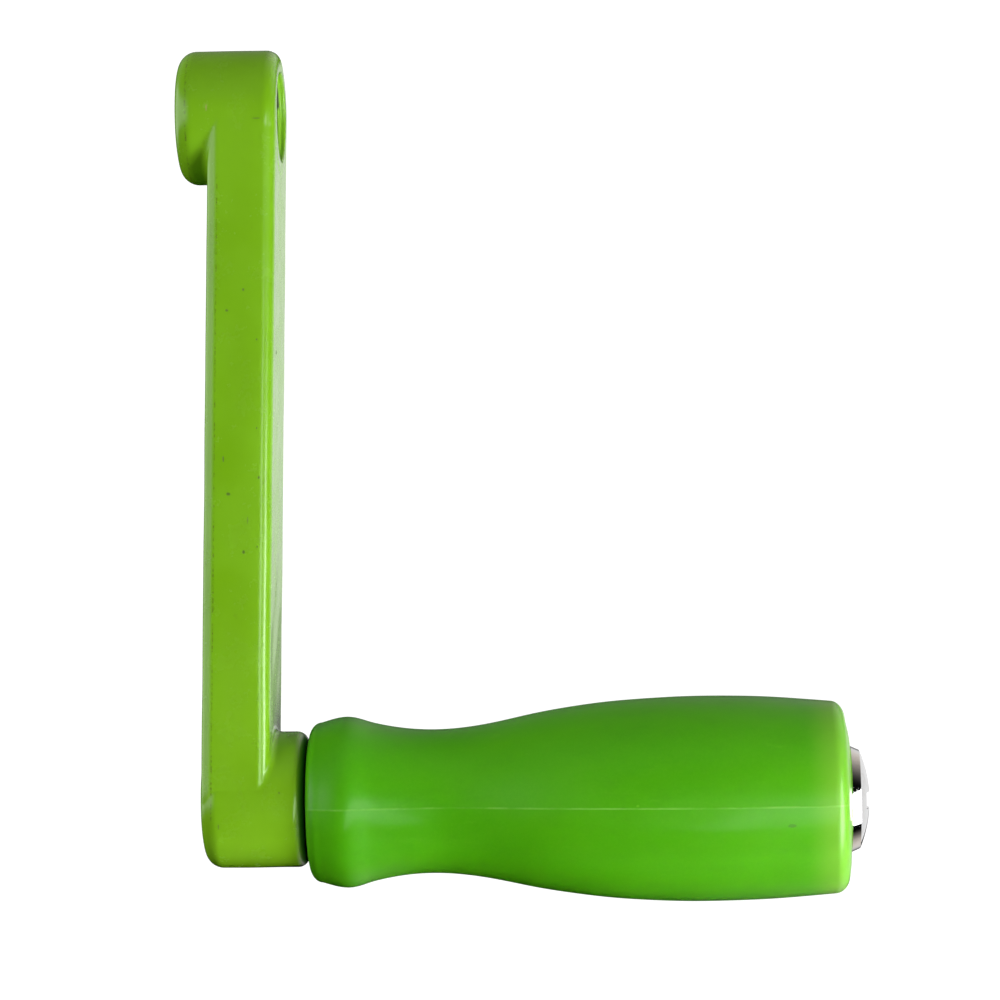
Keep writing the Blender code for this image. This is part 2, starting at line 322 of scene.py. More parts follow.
def drive_hole_cutter():
    """The bore for the drive shaft, round with one flat, and the washer seat at its outer end."""
    angles = whole_turn(128)
    floor_x = HUB_LENGTH - SEAT_DEPTH
    bore = [(-CUTTER_REACH, BORE_RADIUS + LIP)] + hole_mouth(0.0, BORE_RADIUS, 1)
    bore += [(floor_x - BORE_CHAMFER, BORE_RADIUS), (floor_x, BORE_RADIUS + BORE_CHAMFER)]
    r = SEAT_ROUNDING
    seat = round_corner(floor_x + r, SEAT_RADIUS - r, r, r, 180, 90)
    seat += hole_mouth(HUB_LENGTH, SEAT_RADIUS, -1)[::-1]
    seat.append((HUB_LENGTH + CUTTER_REACH, SEAT_RADIUS + LIP))
    rings = []
    for x, radius in bore:
        ring = circle(x, radius, angles)
        ring[:, 2] = np.maximum(ring[:, 2], -BORE_FLAT - radius + BORE_RADIUS)
        rings.append(ring)
    rings += [circle(x, radius, angles) for x, radius in seat]
    points, faces = stacked(rings)
    return make_object("drive_hole", points, faces, None, None)


def tapped_hole_cutter():
    """The hole right through the foot for the grip's screw."""
    back = [(FOOT_BACK_X - CUTTER_REACH, TAPPED_RADIUS + LIP)]
    back += hole_mouth(FOOT_BACK_X, TAPPED_RADIUS, 1)
    front = hole_mouth(FOOT_FACE_X, TAPPED_RADIUS, -1)[::-1]
    front.append((FOOT_FACE_X + CUTTER_REACH, TAPPED_RADIUS + LIP))
    points, faces = stacked(turned(back + front, whole_turn(64)))
    return make_object("tapped_hole", points, faces, None, None)


def make_arm(material):
    margin = 2 * ARM_MESH_STEP
    points, quads = skin(arm_field, ARM_LOW - margin, ARM_HIGH + margin, ARM_MESH_STEP)
    arm = make_object("arm_casting", points, quads.tolist(), "arm", material)
    cut(arm, drive_hole_cutter())
    cut(arm, tapped_hole_cutter())
    shade_by_field(arm.data, arm_field)
    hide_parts("crank_arm")
    return arm


# The grip

GRIP_LENGTH = 94.2
NEAR_FACE_RADIUS = 11.4
FAR_FACE_RADIUS = 13.8
NEAR_SHOULDER = 2.1
FAR_SHOULDER = 2.6
GRIP_EDGE = 0.3  # the rounding of the pockets' mouths
END_CROWN = 0.5
END_LEAN = 0.0194  # how much further the far end's lower part stands out, per millimetre down
END_REACH = 0.08  # how far the far end's outer part stands out
GRIP_BORE = 6.2
NEAR_POCKET = (9.3, 1.3)  # radius, depth
HEAD_SEAT = (9.9, 1.0)
FAR_POCKET = (8.3, SLEEVE_HIGH[0])  # radius, floor
# The outline between the end rounds: distance along, radius, slope
GRIP_OUTLINE = (
    (NEAR_SHOULDER, 14.1, 0.31),
    (6.6, 15.05, 0.0),
    (11.5, 13.85, -0.23),
    (22.0, 12.63, 0.0),
    (37.5, 14.84, 0.217),
    (70.5, 18.0, 0.0),
    (GRIP_LENGTH - FAR_SHOULDER, 16.88, -0.095),
)
LEAN_START = 78.0
SEAM_TURN = math.radians(181.2)  # the parting plane, from +Y round towards +Z
SEAMS = (SEAM_TURN, SEAM_TURN + math.pi)
BESIDE_SEAM = np.radians([-1.2, -0.8, -0.5, -0.25, 0, 0.25, 0.5, 0.8, 1.2])
SEAM_CLEARANCE = math.radians(1.6)  # no other points are this near a seam
SEAM_HEIGHT = 0.025
SEAM_HALF_WIDTH = 0.16


def span(first, last, spacing=0.7):
    """Points of the cubic between two stations (along, radius, slope), without the last one."""
    (x0, r0, m0), (x1, r1, m1) = first, last
    length = x1 - x0
    t = np.arange(0, 1, 1 / max(2, round(length / spacing)))
    radius = (
        r0 * (2 * t**3 - 3 * t**2 + 1)
        + m0 * length * (t**3 - 2 * t**2 + t)
        + r1 * (3 * t**2 - 2 * t**3)
        + m1 * length * (t**3 - t**2)
    )
    return list(zip(x0 + t * length, radius))


def grip_outside():
    """The grip's outline from its near face to the crown of its far face."""
    shoulder_x, shoulder, _ = GRIP_OUTLINE[0]
    near = round_corner(
        NEAR_SHOULDER, NEAR_FACE_RADIUS, NEAR_SHOULDER, shoulder - NEAR_FACE_RADIUS, 180, 90, 8
    )
    middle = []
    for first, last in zip(GRIP_OUTLINE, GRIP_OUTLINE[1:]):
        middle += span(first, last)
    end_x, end_radius, _ = GRIP_OUTLINE[-1]
    far = round_corner(
        end_x, FAR_FACE_RADIUS, FAR_SHOULDER, end_radius - FAR_FACE_RADIUS, 90, 0, 10
    )
    return near[:-1] + middle + far


def moulding_waves(x, angles):
    """The slight unevenness that a moulding has."""
    return 0.015 * np.sin(3 * angles + 0.21 * x) + 0.012 * np.sin(0.45 * x + 2 * angles)


def off_seam(angles, seam):
    """The signed angles from a seam, the short way round."""
    return (angles - seam + math.pi) % math.tau - math.pi


def make_grip(material):
    """The moulded grip, with a raised parting line down its front and back."""
    near_pocket, near_depth = NEAR_POCKET
    head_seat, seat_depth = HEAD_SEAT
    far_pocket, far_floor = FAR_POCKET
    far_floor -= GRIP_X
    crown = GRIP_LENGTH + END_CROWN
    soft = GRIP_EDGE
    profile = [
        (near_depth, GRIP_BORE),
        (near_depth, near_pocket),
        (soft, near_pocket),
        (soft * 0.3, near_pocket + soft * 0.3),
        (0.0, near_pocket + soft),
        *grip_outside(),
        (GRIP_LENGTH + END_CROWN * 0.4, FAR_FACE_RADIUS - 1.0),
        (GRIP_LENGTH + END_CROWN * 0.75, FAR_FACE_RADIUS - 2.2),
        (crown, head_seat + soft + 0.3),
        (crown, head_seat + soft),
        (crown - soft * 0.3, head_seat + soft * 0.3),
        (crown - soft, head_seat),
        (crown - seat_depth, head_seat),
        (crown - seat_depth, far_pocket),
        (far_floor, far_pocket),
        (far_floor, GRIP_BORE),
    ]
    angles = np.radians(np.arange(0, 360, 2.25))
    for seam in SEAMS:
        angles = angles[np.abs(off_seam(angles, seam)) > SEAM_CLEARANCE]
        angles = np.append(angles, (seam + BESIDE_SEAM) % math.tau)
    angles = np.sort(angles)
    rings = []
    for x, radius in profile:
        ridge = 0 * angles
        if radius > FAR_FACE_RADIUS * 0.9:
            for seam in SEAMS:
                away = off_seam(angles, seam) * radius
                ridge += SEAM_HEIGHT * np.exp(-((away / SEAM_HALF_WIDTH) ** 2))
            ridge += moulding_waves(x, angles)
        ring = circle(GRIP_X + x, radius + ridge, angles, AXIS_Z)
        if radius > head_seat + 1:
            leaning = END_REACH - END_LEAN * (ring[:, 2] - AXIS_Z)
            share = max(0.0, (x - LEAN_START) / (GRIP_LENGTH - LEAN_START))
            ring[:, 0] += leaning * share**2 * min(1.0, (radius - head_seat - 1) / 2)
        rings.append(ring)
    points, faces = stacked(rings, cap=False)
    grip = make_object("grip_moulding", points, faces, "grip", material)
    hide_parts("grip")
    return grip


# The screw

SHANK_RADIUS = 4.0
THREAD_RADIUS = 3.98
THREAD_PITCH = 1.25
THREAD_DEPTH = 0.6
HEAD_RADIUS = 9.3
HEAD_TOP_RADIUS = 8.5
HEAD_DOME = 1.7
HEAD_DROP = 0.4  # the head sits a little low on its seat
HEAD_WALL = 1.9
SLOT_HALF_WIDTH = 1.38
SLOT_DEPTH = 0.7
EDGE = 0.16  # the rounding of the head's edges
TOP_X = SCREW_HIGH[0]
WALL_TOP_X = TOP_X - HEAD_DOME
HEAD_X = WALL_TOP_X - HEAD_WALL
TIP_X = SCREW_LOW[0]
# The outline from the head's wall to the shank: x, radius
HEAD_TO_SHANK = (
    (WALL_TOP_X - EDGE, HEAD_TOP_RADIUS + 0.16),
    (HEAD_X + 0.35, HEAD_RADIUS - 0.02),
    (HEAD_X + 0.1, HEAD_RADIUS - 0.06),
    (HEAD_X, HEAD_RADIUS - 0.3),
    (HEAD_X, SHANK_RADIUS + 1.5),
    (HEAD_X, SHANK_RADIUS + 0.4),
    (HEAD_X - 0.12, SHANK_RADIUS + 0.12),
    (HEAD_X - 0.4, SHANK_RADIUS),
)


def dome_x(r):
    """The height of the head's dome at a distance from its axis."""
    sphere = (HEAD_TOP_RADIUS**2 + HEAD_DOME**2) / (2 * HEAD_DOME)
    return TOP_X - sphere + np.sqrt(sphere**2 - r**2)


def head_rows():
    """Rows across the head, from the slot's middle to the rim: (height z, share of the way from
    the slot's floor to the dome, drop below the dome)."""
    half = SLOT_HALF_WIDTH
    rows = [(0.0, 0, 0), (half * 0.5, 0, 0), (half - 0.3, 0, 0), (half - 0.06, 0.02, 0)]
    rows += [(half, 0.12, 0), (half, 1, EDGE)]
    rows += [(half + 0.3 * EDGE, 1, 0.3 * EDGE), (half + EDGE, 1, 0)]
    start = math.asin((half + 2 * EDGE) / HEAD_TOP_RADIUS)
    for turn in np.linspace(start, math.pi / 2, 18):
        rows.append((HEAD_TOP_RADIUS * math.sin(turn), 1, 0))
    return rows


def head_top(y, z, share, drop):
    """The head's top surface with the slot pressed into it."""
    dome = dome_x(np.hypot(y, z))
    floor = np.minimum(dome, TOP_X - SLOT_DEPTH)
    return np.minimum(floor + (dome - floor) * share, dome) - drop * (dome > floor)


def make_screw(material):
    """The whole screw as one mesh: helical thread, shank, tapered head and slotted dome."""
    head_z = AXIS_Z - HEAD_DROP
    half_rows = head_rows()
    rows = [(-z, s, d) for z, s, d in half_rows[:0:-1]] + half_rows
    columns = np.linspace(-1, 1, 41)
    grid = []
    for z, share, drop in rows:
        reach = math.sqrt(max(HEAD_TOP_RADIUS**2 - z**2, 0.0))
        y = np.sin(columns * math.pi / 2) * reach
        x = head_top(y, z, share, drop)
        grid.append(np.stack([x, y, z + head_z + 0 * y], 1))
    grid = np.array(grid[1:-1])  # the two end rows have no width
    count, across = grid.shape[:2]
    number = np.arange(count * across).reshape(count, across)
    faces = []
    for i in range(count - 1):
        for j in range(across - 1):
            faces.append((number[i, j], number[i, j + 1], number[i + 1, j + 1], number[i + 1, j]))
    # The grid's border as one loop, anticlockwise seen from +X, and its angles
    loop = [*number[0], *number[1:, -1], *number[-1, -2::-1], *number[-2:0:-1, 0]]
    points = [tuple(p) for p in grid.reshape(-1, 3)]
    border = grid.reshape(-1, 3)[loop]
    angles = np.arctan2(border[:, 2] - head_z, border[:, 1])
    sunk = dome_x(np.hypot(border[:, 1], border[:, 2] - head_z)) - border[:, 0]
    # The head's rounded rim, then its wall and the shank, then the thread and the tip
    rim = circle(WALL_TOP_X - EDGE * 0.3, HEAD_TOP_RADIUS + 0.1, angles, head_z)
    rim[:, 0] -= sunk
    previous = add_ring(points, faces, loop, rim)
    shank = [(x, SHANK_RADIUS) for x in np.linspace(HEAD_X - 5, FOOT_FACE_X + 0.8, 12)]
    for x, radius in [*HEAD_TO_SHANK, *shank]:
        level = head_z if radius > SHANK_RADIUS + 1 else AXIS_Z
        previous = add_ring(points, faces, previous, circle(x, radius, angles, level))
    for x in np.arange(FOOT_FACE_X + 0.3, TIP_X, -THREAD_PITCH / 8):
        radius = thread_radius(x, angles)
        previous = add_ring(points, faces, previous, circle(x, radius, angles, AXIS_Z))
    tip = circle(TIP_X, THREAD_RADIUS - THREAD_DEPTH - 0.3, angles, AXIS_Z)
    previous = add_ring(points, faces, previous, tip)
    faces.append(tuple(previous))
    screw = make_object("slotted_screw", np.array(points), faces, "arm", material, 25.0)
    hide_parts("grip_screw")
    return screw


def thread_radius(x, angles):
    """The thread's radius at x and each angle, running out at both ends."""
    phase = (x / THREAD_PITCH - angles / math.tau) % 1.0
    crest = 1 - np.clip(np.abs(phase - 0.5) * 2.6 - 0.16, 0, 1)
    fade = np.clip((FOOT_FACE_X - x) / 1.5, 0, 1) * np.clip((x - TIP_X) / 1.5, 0.0, 1)
    return THREAD_RADIUS - THREAD_DEPTH * (1 - crest * fade)


def add_ring(points, faces, previous, ring):
    """Adds a ring of points below the previous ring and joins them with quads."""
    start = len(points)
    points.extend(map(tuple, ring))
    current = list(range(start, start + len(ring)))
    count = len(ring)
    for j in range(count):
        k = (j + 1) % count
        faces.append((previous[k], previous[j], current[j], current[k]))
    return current


# The sleeve and the washers

WASHER_BORE = 4.3
THRUST_BORE = 6.3
RING_EDGE = 0.2
SPLIT = 0.8  # the width of the spring washer's cut
SPRING_RISE = 0.25  # how far its ends are sprung apart


def ring_profile(low_x, high_x, bore, radius, edge):
    """The section of a plain ring with rounded edges, as (x, radius) points in a loop."""
    return (
        round_corner(low_x + edge, bore + edge, edge, edge, 270, 180, 3)
        + round_corner(low_x + edge, radius - edge, edge, edge, 180, 90, 3)
        + round_corner(high_x - edge, radius - edge, edge, edge, 90, 0, 3)
        + round_corner(high_x - edge, bore + edge, edge, edge, 0, -90, 3)
    )


def make_ring(name, node, bore, material):
    """A plain ring round the screw that stands for a CAD node."""
    low, high = box_mm(node)
    radius = (high[1] - low[1]) / 2
    profile = ring_profile(low[0], high[0], bore, radius, RING_EDGE)
    points, faces = stacked(turned(profile, whole_turn(128)), cap=False)
    ring = make_object(name, points, faces, "arm", material)
    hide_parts(node)
    return ring


def make_spring_washer(material):
    """The split washer under the screw's head, its cut at the top and its ends sprung apart."""
    low, high = box_mm("lock_washer")
    radius = (high[1] - low[1]) / 2
    half_cut = SPLIT / 2 / radius
    angles = np.linspace(math.pi / 2 + half_cut, math.pi * 5 / 2 - half_cut, 120)
    thick = high[0] - low[0] - SPRING_RISE
    rings = []
    for share, angle in zip(np.linspace(0, 1, len(angles)), angles):
        start = low[0] + SPRING_RISE * share
        section = ring_profile(start, start + thick, WASHER_BORE, radius, RING_EDGE)[::-1]
        one = np.array([angle])
        rings.append(np.concatenate([circle(x, r, one, AXIS_Z) for x, r in section]))
    points, faces = stacked(rings)
    washer = make_object("spring_washer", points, faces, "arm", material)
    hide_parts("lock_washer")
    return washer


# Materials


class Finish:
    """A new material and short ways to add nodes to it. Lengths are in millimetres."""

    def __init__(self, name, **settings):
        self.material = bpy.data.materials.new(name)
        self.material.use_nodes = True
        self.tree = self.material.node_tree
        self.shader = self.tree.nodes["Principled BSDF"]
        for key, value in settings.items():
            self.shader.inputs[key.replace("_", " ")].default_value = value
        place = self.node("ShaderNodeTexCoord").outputs["Object"]
        self.place = self.vector("SCALE", place, scale=1 / MM)
        parts = self.node("ShaderNodeSeparateXYZ", self.place)
        self.x, self.y, self.z = parts.outputs

    def node(self, kind, *inputs, **settings):
        node = self.tree.nodes.new(kind)
        for key, value in settings.items():
            setattr(node, key, value)
        for number, value in enumerate(inputs):
            self.feed(node.inputs[number], value)
        return node

    def feed(self, socket, value):
        """Links a socket to an output, or sets it to a plain value."""
        if isinstance(value, bpy.types.NodeSocket):
            self.tree.links.new(value, socket)
        elif value is not None:
            socket.default_value = value

    def set(self, name, value):
        self.feed(self.shader.inputs[name], value)

    def vector(self, operation, first, second=None, scale=None):
        node = self.node("ShaderNodeVectorMath", first, second, operation=operation)
        if operation == "SCALE":
            node.inputs["Scale"].default_value = scale
        return node.outputs["Value" if operation in ("LENGTH", "DISTANCE") else "Vector"]

    def maths(self, operation, first, second=None, clamp=False):
        node = self.node("ShaderNodeMath", first, second, operation=operation, use_clamp=clamp)
        return node.outputs[0]

    def times(self, *values):
        result = values[0]
        for value in values[1:]:
            result = self.maths("MULTIPLY", result, value)
        return result

    def step(self, value, low, high, first=0.0, last=1.0):
        """Goes smoothly from first to last as value goes from low to high."""
        limits = (value, low, high, first, last)
        node = self.node("ShaderNodeMapRange", *limits, interpolation_type="SMOOTHSTEP")
        return node.outputs[0]

    def noise(self, size, detail=2.0, roughness=0.5, place=None):
        """Noise with features about that size; place may be (x, y, z) scales first."""
        node = self.node("ShaderNodeTexNoise")
        where = self.place
        if place is not None:
            where = self.vector("MULTIPLY", self.place, place)
        self.feed(node.inputs["Vector"], where)
        node.inputs["Scale"].default_value = 1 / size
        node.inputs["Detail"].default_value = detail
        node.inputs["Roughness"].default_value = roughness
        return node.outputs["Fac"]

    def specks(self, size, share, radius, soft=0.4):
        """Small round spots, in that share of cells of that size."""
        node = self.node("ShaderNodeTexVoronoi")
        self.feed(node.inputs["Vector"], self.place)
        node.inputs["Scale"].default_value = 1 / size
        pick = self.node("ShaderNodeSeparateColor", node.outputs["Color"])
        wobble = self.maths("MULTIPLY_ADD", self.noise(radius * 1.5), radius / size)
        self.feed(wobble.node.inputs[2], node.outputs["Distance"])
        spot = self.step(wobble, radius / size * 1.5 * (1 - soft), radius / size * 1.5, 1.0, 0.0)
        return self.times(spot, self.step(pick.outputs[0], share, share - 0.001))

    def spot(self, centre, reach, ragged=0.5):
        """A ragged mark at a place, with half sizes along X, Y and Z."""
        away = self.vector("SUBTRACT", self.place, centre)
        away = self.vector("DIVIDE", away, reach)
        far = self.vector("LENGTH", away)
        rough = self.maths("MULTIPLY_ADD", self.noise(min(reach) * 1.2, 3.0), ragged)
        self.feed(rough.node.inputs[2], far)
        return self.step(rough, 0.75 + ragged / 2, 1.05 + ragged / 2, 1.0, 0.0)

    def blend(self, share, first, second):
        """A colour that goes from first to second as the share goes from 0 to 1."""
        node = self.node("ShaderNodeMix", data_type="RGBA")
        self.feed(node.inputs["Factor"], share)
        for number, value in ((6, first), (7, second)):
            self.feed(node.inputs[number], (*value, 1.0) if isinstance(value, tuple) else value)
        return node.outputs[2]

    def height(self, *layers):
        """Sets the bump from (value, millimetres) layers."""
        total = None
        for value, size in layers:
            node = self.node("ShaderNodeMath", value, size * MM, operation="MULTIPLY_ADD")
            self.feed(node.inputs[2], 0.0 if total is None else total)
            total = node.outputs[0]
        bump = self.node("ShaderNodeBump")
        bump.inputs["Distance"].default_value = 1.0
        self.feed(bump.inputs["Height"], total)
        self.set("Normal", bump.outputs["Normal"])

    def from_axis(self, z):
        """The distance from a line along X at height z."""
        level = self.maths("SUBTRACT", self.z, z)
        squares = self.maths("ADD", self.times(self.y, self.y), self.times(level, level))
        return self.maths("SQRT", squares)

    def line(self, value, middle, half_width):
        """1 where value is near the middle, fading out at half_width."""
        away = self.maths("ABSOLUTE", self.maths("SUBTRACT", value, middle))
        return self.step(away, half_width * 0.4, half_width, 1.0, 0.0)


# Marks on the paint and the grip: the centre, then half sizes along X, Y and Z
HUB_CHIP = ((5.9, -11.5, 0.8), (0.16, 0.6, 0.7))
PAINT_MARKS = (
    ((14.6, -11.7, -1.2), (0.8, 0.4, 0.10)),
    ((16.8, -4.7, -41.7), (0.4, 0.9, 0.4)),
    ((16.9, -11.6, -118.4), (0.2, 0.5, 0.2)),
    ((6.2, -11.4, -124.3), (0.14, 0.6, 0.6)),
    ((11.9, -11.7, -30.9), (0.22, 0.5, 0.3)),
    ((9.0, -11.7, -34.5), (0.3, 0.5, 0.22)),
    ((14.1, -11.7, -39.6), (0.16, 0.5, 0.2)),
    ((13.9, -11.7, -55.0), (0.14, 0.5, 0.2)),
    ((8.0, -11.7, -60.3), (0.14, 0.5, 0.6)),
    ((8.8, -11.7, -66.4), (0.4, 0.5, 0.3)),
    ((14.1, -11.7, -63.6), (0.22, 0.5, 0.3)),
    ((12.1, -11.7, -71.0), (0.08, 0.5, 0.75)),
    ((11.3, -11.7, -76.5), (0.3, 0.5, 0.35)),
    ((13.7, -11.7, -75.6), (0.14, 0.5, 0.2)),
)
GRIP_DARK_MARKS = (
    ((105.6, -16.6, -124.6), (0.9, 1.5, 0.4)),
    ((51.2, -11.5, -112.9), (0.25, 1.0, 0.25)),
)
GRIP_PALE_MARKS = (((79.2, -17.4, -120.9), (0.3, 1.0, 0.25)),)

PAINT = (0.184, 0.432, 0.011)
PAINT_WORN = (0.21, 0.45, 0.015)
PAINT_DEEP = (0.165, 0.395, 0.006)
# Dark dirt on the paint and on bare steel; also the painted shade in the drive hole's mouth
DIRT_AND_SHADE = (0.020, 0.030, 0.006)
OLIVE_DIRT = (0.075, 0.095, 0.014)
# Painted shade in the gap between the foot and the grip
GAP_SHADE = (0.001, 0.090, 0.001)
CHIP = (0.42, 0.40, 0.16)
BARE_STEEL = (0.30, 0.29, 0.27)


def paint_finish():
    """Glossy yellow-green paint over a casting, with grime along its edges and bare holes."""
    f = Finish("yellow_green_paint", IOR=1.5, Coat_Weight=0.25, Coat_Roughness=0.05)
    from_shaft = f.from_axis(0.0)
    from_screw = f.from_axis(AXIS_Z)
    cloud = f.noise(14.0, 3.0)
    colour = f.blend(f.step(cloud, 0.35, 0.7), PAINT, PAINT_DEEP)
    worn = f.times(f.step(f.noise(3.2, 5.0, 0.65), 0.56, 0.78), 0.12)
    colour = f.blend(worn, colour, PAINT_WORN)
    fine = f.noise(0.35, 3.0, 0.7)
    colour = f.blend(f.step(fine, 0.3, 0.8, 0.0, 0.10), colour, PAINT_DEEP)
    # Grime along the tangent lines of the rounded edges
    bar_x = f.maths("SUBTRACT", f.x, f.times(f.z, BAR_LEAN))
    on_bar = f.step(f.z, -HUB_RADIUS, -HUB_RADIUS + 1.5, 1.0, 0.0)
    side = f.step(f.maths("ABSOLUTE", f.y), BAR_HALF_WIDTH - 0.45, BAR_HALF_WIDTH - 0.2)
    rim = f.step(from_shaft, HUB_RADIUS - 0.5, HUB_RADIUS - 0.2)
    dots = f.step(f.noise(0.7, 3.0, 0.7), 0.44, 0.70)
    bar_line = f.times(f.line(bar_x, BAR_INNER_X + 1.95, 0.15), on_bar, side)
    hub_line = f.times(f.line(f.x, 2.1, 0.22), rim)
    grime = f.times(f.maths("ADD", bar_line, hub_line, clamp=True), dots)
    colour = f.blend(f.times(grime, 0.8), colour, OLIVE_DIRT)
    # The old stains and specks of a used tool
    stains = f.maths("MAXIMUM", f.specks(2.3, 0.30, 0.13, 0.8), f.specks(5.0, 0.45, 0.22, 0.9))
    smears = f.times(
        f.step(f.noise(1.3, 5.0, 0.75, place=(1, 1, 0.5)), 0.60, 0.74),
        f.step(f.noise(9.0, 2.0), 0.45, 0.65),
    )
    colour = f.blend(f.times(f.maths("MAXIMUM", stains, smears), 0.42), colour, OLIVE_DIRT)
    marks = f.specks(9.0, 0.30, 0.11)
    for centre, reach in PAINT_MARKS:
        marks = f.maths("MAXIMUM", marks, f.spot(centre, reach))
    colour = f.blend(f.times(marks, 0.6), colour, DIRT_AND_SHADE)
    colour = f.blend(f.times(f.spot(*HUB_CHIP), 0.8), colour, CHIP)
    # Painted shade: the foot's face beside the grip is painted dark green, standing in for the
    # shade in the gap
    near_grip = f.step(f.x, FOOT_FACE_X - 1.3, FOOT_FACE_X - 0.1)
    colour = f.blend(f.times(near_grip, 0.95), colour, GAP_SHADE)
    # Bare metal deep in the holes, and painted shade on the upper far wall of the drive hole's
    # mouth
    deep = f.maths("MINIMUM", f.x, f.maths("SUBTRACT", HUB_LENGTH - SEAT_DEPTH, f.x))
    in_bore = f.times(
        f.step(from_shaft, BORE_RADIUS + 0.6, BORE_RADIUS + 0.2),
        f.step(deep, 0.6, 1.1),
    )
    in_foot = f.times(
        f.step(from_screw, TAPPED_RADIUS + 0.5, TAPPED_RADIUS + 0.1),
        f.step(f.x, FOOT_BACK_X + 0.5, FOOT_BACK_X + 0.9),
    )
    bare = f.maths("MAXIMUM", in_bore, in_foot)
    steel = f.blend(f.step(f.noise(1.4, 5.0, 0.7), 0.35, 0.7), BARE_STEEL, DIRT_AND_SHADE)
    colour = f.blend(bare, colour, steel)
    # Painted shade: the upper far wall just inside the drive hole's mouth is darkened
    mouth_shade = f.times(
        f.step(from_shaft, BORE_RADIUS + 0.9, BORE_RADIUS + 0.4),
        f.step(f.x, HUB_LENGTH - 2.2, HUB_LENGTH - 1.9),
        f.step(f.z, 1.6, 2.4),
        f.step(f.y, 0.0, 1.0),
    )
    colour = f.blend(f.times(mouth_shade, 0.95), colour, DIRT_AND_SHADE)
    f.set("Base Color", colour)
    f.set("Metallic", f.times(bare, 0.85))
    gloss = f.step(f.noise(5.0, 5.0, 0.7), 0.3, 0.8, 0.20, 0.32)
    in_seat = f.times(
        f.step(from_shaft, SEAT_RADIUS + 0.1, SEAT_RADIUS - 0.1),
        f.step(f.x, HUB_LENGTH - 3.0, HUB_LENGTH - 2.0),
    )
    dull = f.maths("MAXIMUM", f.maths("MAXIMUM", marks, near_grip), in_seat)
    gloss = f.maths("ADD", gloss, f.times(dull, 0.35))
    f.set("Roughness", f.maths("MAXIMUM", gloss, f.times(bare, 0.5)))
    f.height(
        (f.noise(1.6, 2.0), 0.005),
        (f.noise(0.45, 2.0), 0.0006),
        (f.noise(7.0, 1.0), 0.035),
        (marks, -0.01),
        (stains, -0.002),
        (f.times(bare, f.noise(0.5, 4.0, 0.7)), 0.05),
    )
    return f.material


PLASTIC = (0.070, 0.355, 0.003)
PLASTIC_DEEP = (0.058, 0.325, 0.002)
PLASTIC_PALE = (0.15, 0.50, 0.025)
# Painted light: a paler green for the grip's far end, where the light from the right falls
PLASTIC_LIT_END = (0.185, 0.45, 0.032)
SEAM_PALE = (0.26, 0.58, 0.10)
PLASTIC_DARK = (0.040, 0.150, 0.010)


def plastic_finish():
    """Semi-gloss green moulded plastic with scuffs and a pale parting line."""
    f = Finish(
        "green_plastic",
        IOR=1.42,
        Subsurface_Weight=0.22,
        Subsurface_Scale=0.0022,
        Coat_Weight=0.08,
        Coat_Roughness=0.10,
    )
    f.shader.inputs["Subsurface Radius"].default_value = (0.45, 1.0, 0.12)
    from_axis = f.from_axis(AXIS_Z)
    level = f.maths("SUBTRACT", f.z, AXIS_Z)
    cloud = f.noise(18.0, 3.0, place=(0.6, 1, 1))
    colour = f.blend(f.step(cloud, 0.3, 0.75), PLASTIC, PLASTIC_DEEP)
    pigment = f.noise(0.5, 4.0, 0.75)
    colour = f.blend(f.step(pigment, 0.35, 0.8, 0.0, 0.12), colour, PLASTIC_PALE)
    # The parting line follows the raised seam
    off_plane = f.maths(
        "SUBTRACT", f.times(level, math.cos(SEAM_TURN)), f.times(f.y, math.sin(SEAM_TURN))
    )
    seam = f.times(f.line(off_plane, 0.0, 0.24), f.step(from_axis, 10.5, 11.5))
    broken = f.step(f.noise(2.6, 4.0, 0.7, place=(0.35, 1, 1)), 0.38, 0.66, 0.15, 1.0)
    seam = f.times(seam, broken)
    # Painted light: the far end is painted paler, standing in for the strong light from the right
    rim = f.step(f.x, GRIP_X + GRIP_LENGTH - 8.0, GRIP_X + GRIP_LENGTH - 1.5)
    colour = f.blend(f.times(rim, 0.7), colour, PLASTIC_LIT_END)
    colour = f.blend(f.times(seam, 0.4), colour, SEAM_PALE)
    scuffs = f.times(
        f.step(f.noise(2.6, 6.0, 0.8, place=(0.3, 1, 1)), 0.55, 0.78),
        f.step(f.noise(11.0, 2.0), 0.42, 0.62),
    )
    colour = f.blend(f.times(scuffs, 0.3), colour, PLASTIC_PALE)
    shade = f.step(f.noise(5.0, 4.0, 0.7, place=(0.4, 1, 1)), 0.50, 0.75)
    colour = f.blend(f.times(shade, 0.10), colour, PLASTIC_DARK)
    dust = f.specks(4.5, 0.25, 0.12, 0.8)
    dark = f.specks(6.5, 0.22, 0.12, 0.8)
    for centre, reach in GRIP_DARK_MARKS:
        dark = f.maths("MAXIMUM", dark, f.spot(centre, reach))
    for centre, reach in GRIP_PALE_MARKS:
        dust = f.maths("MAXIMUM", dust, f.spot(centre, reach))
    colour = f.blend(f.times(dust, 0.55), colour, PLASTIC_PALE)
    colour = f.blend(f.times(dark, 0.55), colour, PLASTIC_DARK)
    f.set("Base Color", colour)
    gloss = f.step(f.noise(6.0, 5.0, 0.7, place=(0.5, 1, 1)), 0.3, 0.75, 0.28, 0.38)
    gloss = f.maths("ADD", gloss, f.times(scuffs, 0.14))
    f.set("Roughness", f.maths("ADD", gloss, f.times(dark, 0.2)))
    f.height(
        (f.noise(0.5, 2.0), 0.002),
        (f.noise(4.0, 2.0, place=(0.6, 1, 1)), 0.03),
        (scuffs, -0.004),
        (dark, -0.008),
    )
    return f.material


